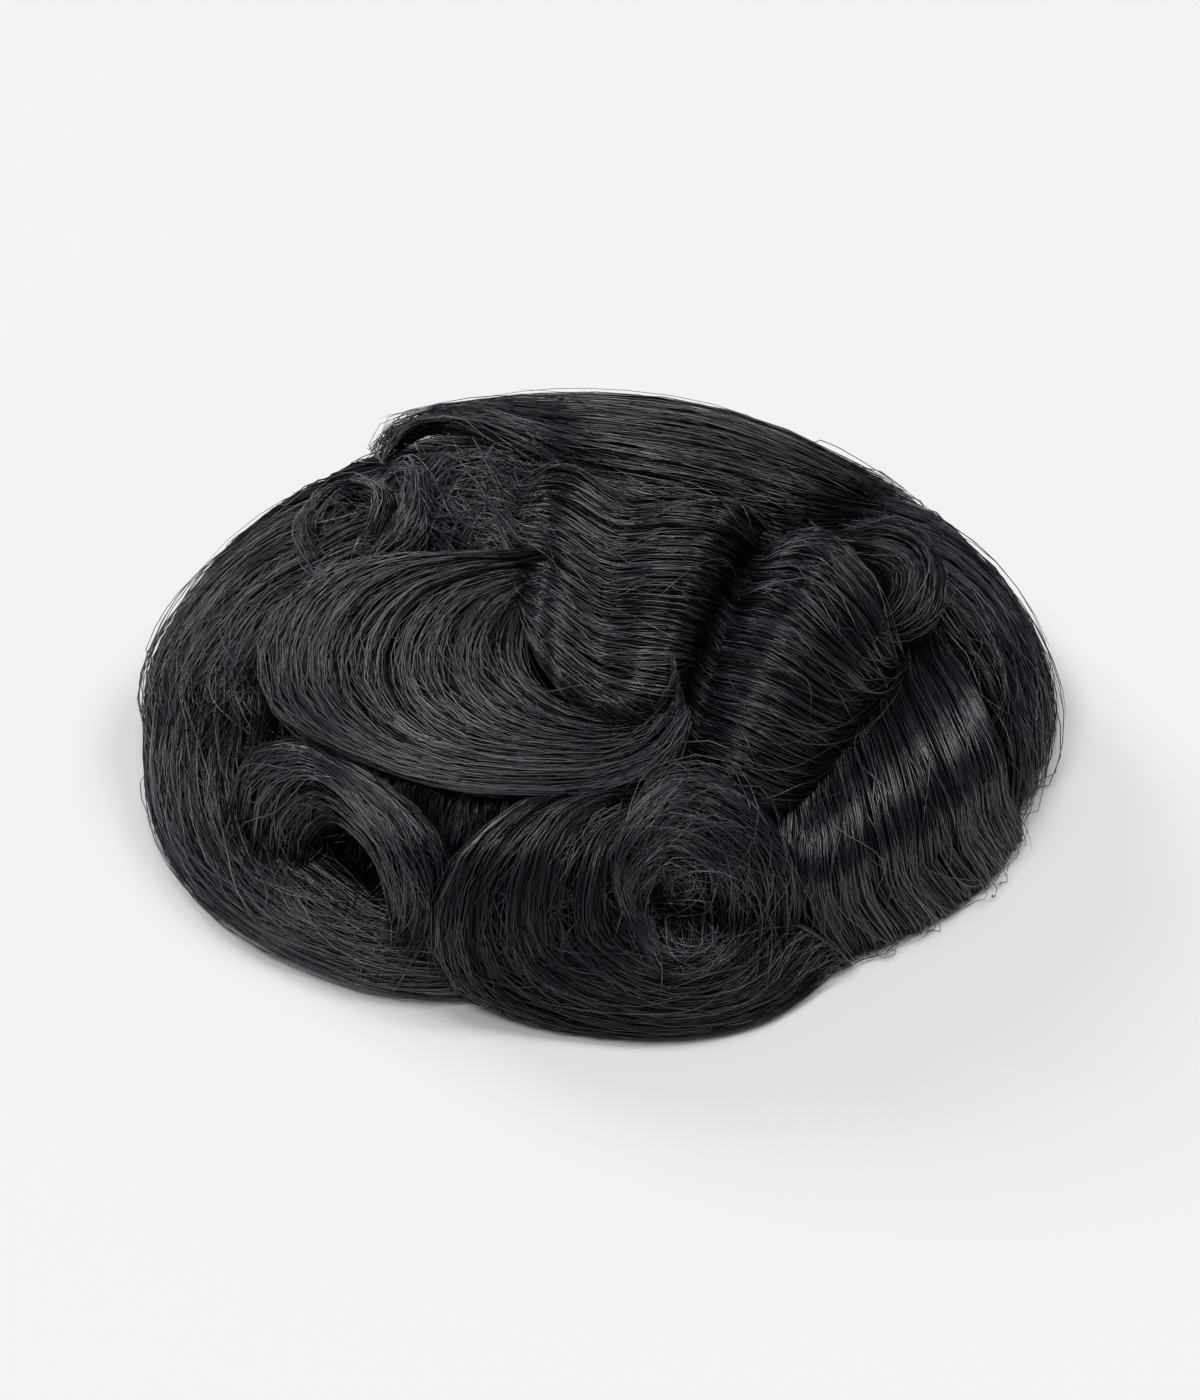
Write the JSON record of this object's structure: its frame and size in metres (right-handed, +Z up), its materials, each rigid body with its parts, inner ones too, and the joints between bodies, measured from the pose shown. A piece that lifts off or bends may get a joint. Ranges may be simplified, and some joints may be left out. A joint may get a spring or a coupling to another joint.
{
  "type": "toupee hairpiece",
  "caption": "Domed hairpiece with a thin open base, short flat hair and swept, waved and curled locks, resting on its rim.",
  "frame": {"origin": "middle of the bounding box at the surface that the rim rests on", "axes": "+X to the right seen from the front hairline, +Y to the back of the head, +Z up"},
  "size_m": [0.2448, 0.2212, 0.0817],
  "materials": {
    "cap_base": "thin matte skin and lace base",
    "short_hair": "short flat black hair",
    "hair": "glossy combed black hair"
  },
  "bodies": {
    "root": {"base_cap": "cap_base", "under_hair": "short_hair", "right_hook": "hair", "front_curl_core": "hair", "front_curl": "hair", "left_front_curl": "hair", "left_front_fall": "hair", "crown_swirl": "hair", "right_wave": "hair", "right_fall": "hair", "centre_wave": "hair", "left_ringlet": "hair", "crown_ringlet": "hair", "back_crest": "hair", "crown_tuft": "hair", "left_side_wave": "hair", "right_rear_fall": "hair", "back_left_fall": "hair", "back_right_fall": "hair"}
  },
  "joints": []
}
